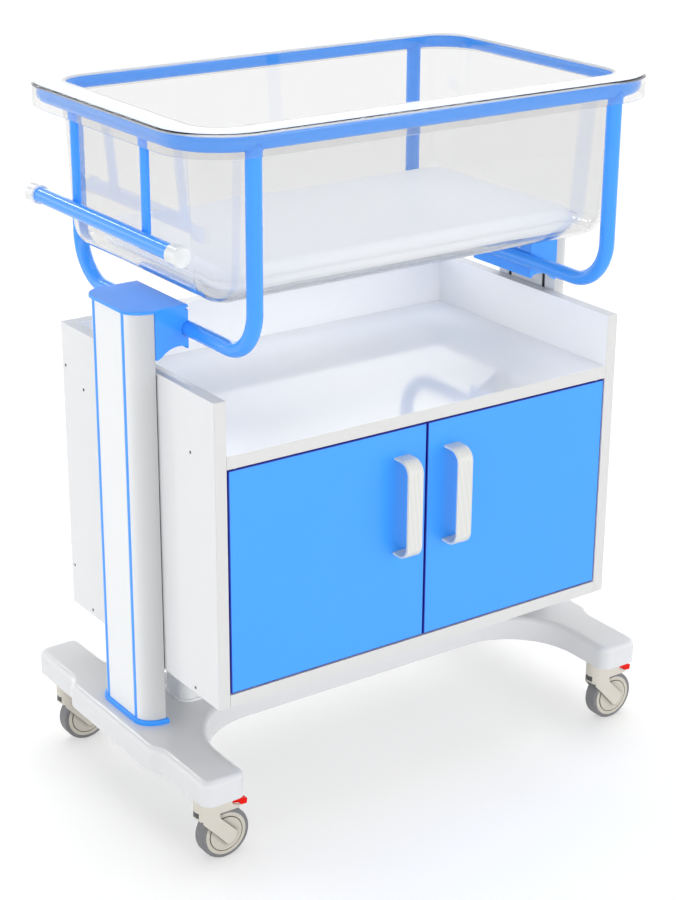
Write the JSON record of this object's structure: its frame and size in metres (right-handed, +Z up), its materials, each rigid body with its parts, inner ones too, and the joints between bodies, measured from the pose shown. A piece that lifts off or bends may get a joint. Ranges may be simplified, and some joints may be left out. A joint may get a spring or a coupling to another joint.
{
  "type": "hospital bassinet",
  "caption": "Mobile hospital bassinet: clear lift-out tub in a tubular crib frame on two lifting columns, over a two-door cabinet with an open tray.",
  "frame": {"origin": "middle of the whole outline, on the floor", "axes": "+X along the tub, away from the push bar; +Y from the doors to the back panel; +Z up"},
  "size_m": [0.8065, 0.491, 1.01],
  "materials": {
    "laminate_white": "smooth laminate board",
    "laminate_blue": "smooth blue laminate board",
    "plastic_white": "moulded white plastic",
    "coated_white": "white powder coat",
    "coated_blue": "blue powder coat",
    "coated_steel": "light grey coated steel",
    "trim_blue": "blue plastic trim",
    "anodised": "clear anodised",
    "steel": "bright steel",
    "nylon": "dark nylon",
    "acrylic": "clear moulded plastic",
    "clear_cap": "clear plastic",
    "cover_cloth": "wipe-clean white cover over foam",
    "caster_plastic": "warm grey plastic",
    "tyre_grey": "soft grey tread",
    "pedal_red": "red plastic"
  },
  "bodies": {
    "stand": {"base_cover": "plastic_white", "base_frame": "coated_steel", "plinth": "coated_white", "caster_stems": "steel", "column_left": "coated_white", "column_right": "coated_white", "column_stripes": "trim_blue", "column_collars": "trim_blue", "column_glides": "nylon", "gas_spring_tubes": "steel", "side_panel_left": "laminate_white", "side_panel_right": "laminate_white", "back_panel": "laminate_white", "tray_panel": "laminate_white", "bottom_panel": "laminate_white", "panel_screws": "steel", "cabinet_bolts": "steel", "door_pivot_pins": "steel"},
    "left_lift": {"inner_column_left": "anodised", "gas_spring_rod_left": "steel", "cap_bracket_left": "coated_blue", "pivot_saddles_left": "nylon", "saddle_screws_left": "steel"},
    "right_lift": {"inner_column_right": "anodised", "gas_spring_rod_right": "steel", "cap_bracket_right": "coated_blue", "pivot_saddles_right": "nylon", "saddle_screws_right": "steel"},
    "crib_frame": {"rim_tube": "coated_blue", "support_tube_left": "coated_blue", "support_tube_right": "coated_blue", "handle_drop_tubes": "coated_blue", "handle_bar": "coated_blue", "handle_end_caps": "clear_cap"},
    "tub": {"tub": "acrylic"},
    "mattress": {"mattress": "cover_cloth"},
    "left_door": {"door_left": "laminate_blue", "door_handle_left": "plastic_white"},
    "right_door": {"door_right": "laminate_blue", "door_handle_right": "plastic_white"},
    "caster_front_left": {"caster_fork_front_left": "caster_plastic", "caster_axle_front_left": "steel"},
    "wheel_front_left": {"caster_hub_front_left": "caster_plastic", "caster_tyre_front_left": "tyre_grey"},
    "pedal_front_left": {"brake_pedal_front_left": "pedal_red"},
    "caster_front_right": {"caster_fork_front_right": "caster_plastic", "caster_axle_front_right": "steel"},
    "wheel_front_right": {"caster_hub_front_right": "caster_plastic", "caster_tyre_front_right": "tyre_grey"},
    "pedal_front_right": {"brake_pedal_front_right": "pedal_red"},
    "caster_rear_left": {"caster_fork_rear_left": "caster_plastic", "caster_axle_rear_left": "steel"},
    "wheel_rear_left": {"caster_hub_rear_left": "caster_plastic", "caster_tyre_rear_left": "tyre_grey"},
    "pedal_rear_left": {"brake_pedal_rear_left": "pedal_red"},
    "caster_rear_right": {"caster_fork_rear_right": "caster_plastic", "caster_axle_rear_right": "steel"},
    "wheel_rear_right": {"caster_hub_rear_right": "caster_plastic", "caster_tyre_rear_right": "tyre_grey"},
    "pedal_rear_right": {"brake_pedal_rear_right": "pedal_red"}
  },
  "joints": [
    {"name": "height", "type": "slide", "parent": "stand", "child": "left_lift", "axis": [0, 0, 1], "range_m": [0, 0.2]},
    {"name": "tilt", "type": "hinge", "parent": "left_lift", "child": "crib_frame", "pos_m": [-0.29625, 0, 0.7165], "axis": [0, -1, 0], "range_deg": [0, 6]},
    {"name": "right_side_lift", "type": "slide", "parent": "left_lift", "child": "right_lift", "axis": [0, 0, 1], "range_m": [0, 0.0615]},
    {"name": "tub_lift_out", "type": "slide", "parent": "crib_frame", "child": "tub", "axis": [0, 0, 1], "range_m": [0, 0.25]},
    {"name": "mattress_lift_out", "type": "slide", "parent": "tub", "child": "mattress", "axis": [0, 0, 1], "range_m": [0, 0.3]},
    {"name": "left_door_hinge", "type": "hinge", "parent": "stand", "child": "left_door", "pos_m": [-0.31325, -0.202, 0.4], "axis": [0, 0, -1], "range_deg": [0, 110]},
    {"name": "right_door_hinge", "type": "hinge", "parent": "stand", "child": "right_door", "pos_m": [0.30275, -0.202, 0.4], "axis": [0, 0, 1], "range_deg": [0, 110]},
    {"name": "swivel_front_left", "type": "hinge", "parent": "stand", "child": "caster_front_left", "pos_m": [-0.35825, -0.2, 0.095], "axis": [0, 0, 1], "continuous": true},
    {"name": "wheel_spin_front_left", "type": "hinge", "parent": "caster_front_left", "child": "wheel_front_left", "pos_m": [-0.34025, -0.2, 0.0375], "axis": [0, 1, 0], "continuous": true},
    {"name": "brake_front_left", "type": "hinge", "parent": "caster_front_left", "child": "pedal_front_left", "pos_m": [-0.34325, -0.2, 0.091], "axis": [0, 1, 0], "range_deg": [0, 10]},
    {"name": "swivel_front_right", "type": "hinge", "parent": "stand", "child": "caster_front_right", "pos_m": [0.34775, -0.2, 0.095], "axis": [0, 0, 1], "continuous": true},
    {"name": "wheel_spin_front_right", "type": "hinge", "parent": "caster_front_right", "child": "wheel_front_right", "pos_m": [0.36575, -0.2, 0.0375], "axis": [0, 1, 0], "continuous": true},
    {"name": "brake_front_right", "type": "hinge", "parent": "caster_front_right", "child": "pedal_front_right", "pos_m": [0.36275, -0.2, 0.091], "axis": [0, 1, 0], "range_deg": [0, 10]},
    {"name": "swivel_rear_left", "type": "hinge", "parent": "stand", "child": "caster_rear_left", "pos_m": [-0.35825, 0.2, 0.095], "axis": [0, 0, 1], "continuous": true},
    {"name": "wheel_spin_rear_left", "type": "hinge", "parent": "caster_rear_left", "child": "wheel_rear_left", "pos_m": [-0.34025, 0.2, 0.0375], "axis": [0, 1, 0], "continuous": true},
    {"name": "brake_rear_left", "type": "hinge", "parent": "caster_rear_left", "child": "pedal_rear_left", "pos_m": [-0.34325, 0.2, 0.091], "axis": [0, 1, 0], "range_deg": [0, 10]},
    {"name": "swivel_rear_right", "type": "hinge", "parent": "stand", "child": "caster_rear_right", "pos_m": [0.34775, 0.2, 0.095], "axis": [0, 0, 1], "continuous": true},
    {"name": "wheel_spin_rear_right", "type": "hinge", "parent": "caster_rear_right", "child": "wheel_rear_right", "pos_m": [0.36575, 0.2, 0.0375], "axis": [0, 1, 0], "continuous": true},
    {"name": "brake_rear_right", "type": "hinge", "parent": "caster_rear_right", "child": "pedal_rear_right", "pos_m": [0.36275, 0.2, 0.091], "axis": [0, 1, 0], "range_deg": [0, 10]}
  ],
  "couplings": [
    {"joint": "right_side_lift", "follows": "tilt", "m_per_rad": 0.582}
  ]
}
